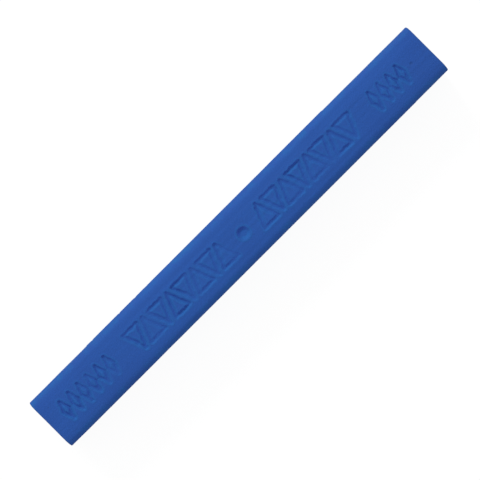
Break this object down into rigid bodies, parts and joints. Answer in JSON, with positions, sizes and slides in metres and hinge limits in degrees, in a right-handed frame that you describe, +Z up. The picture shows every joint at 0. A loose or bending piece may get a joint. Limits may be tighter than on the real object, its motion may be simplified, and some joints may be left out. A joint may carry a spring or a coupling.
{
  "type": "watercolour ink block",
  "caption": "Short square stick of pressed blue watercolour pigment with rounded long edges, lying on a plain face, with a shallow stamped line of plain marks on top.",
  "frame": {"origin": "middle of the plain face that the stick lies on", "axes": "+X along the stick, towards the end with the shorter row of lozenges; +Y across it; +Z up, out of the stamped face"},
  "size_m": [0.07, 0.008, 0.008],
  "materials": {
    "pressed_pigment": "matte"
  },
  "bodies": {
    "root": {"ink_block": "pressed_pigment"}
  },
  "joints": []
}
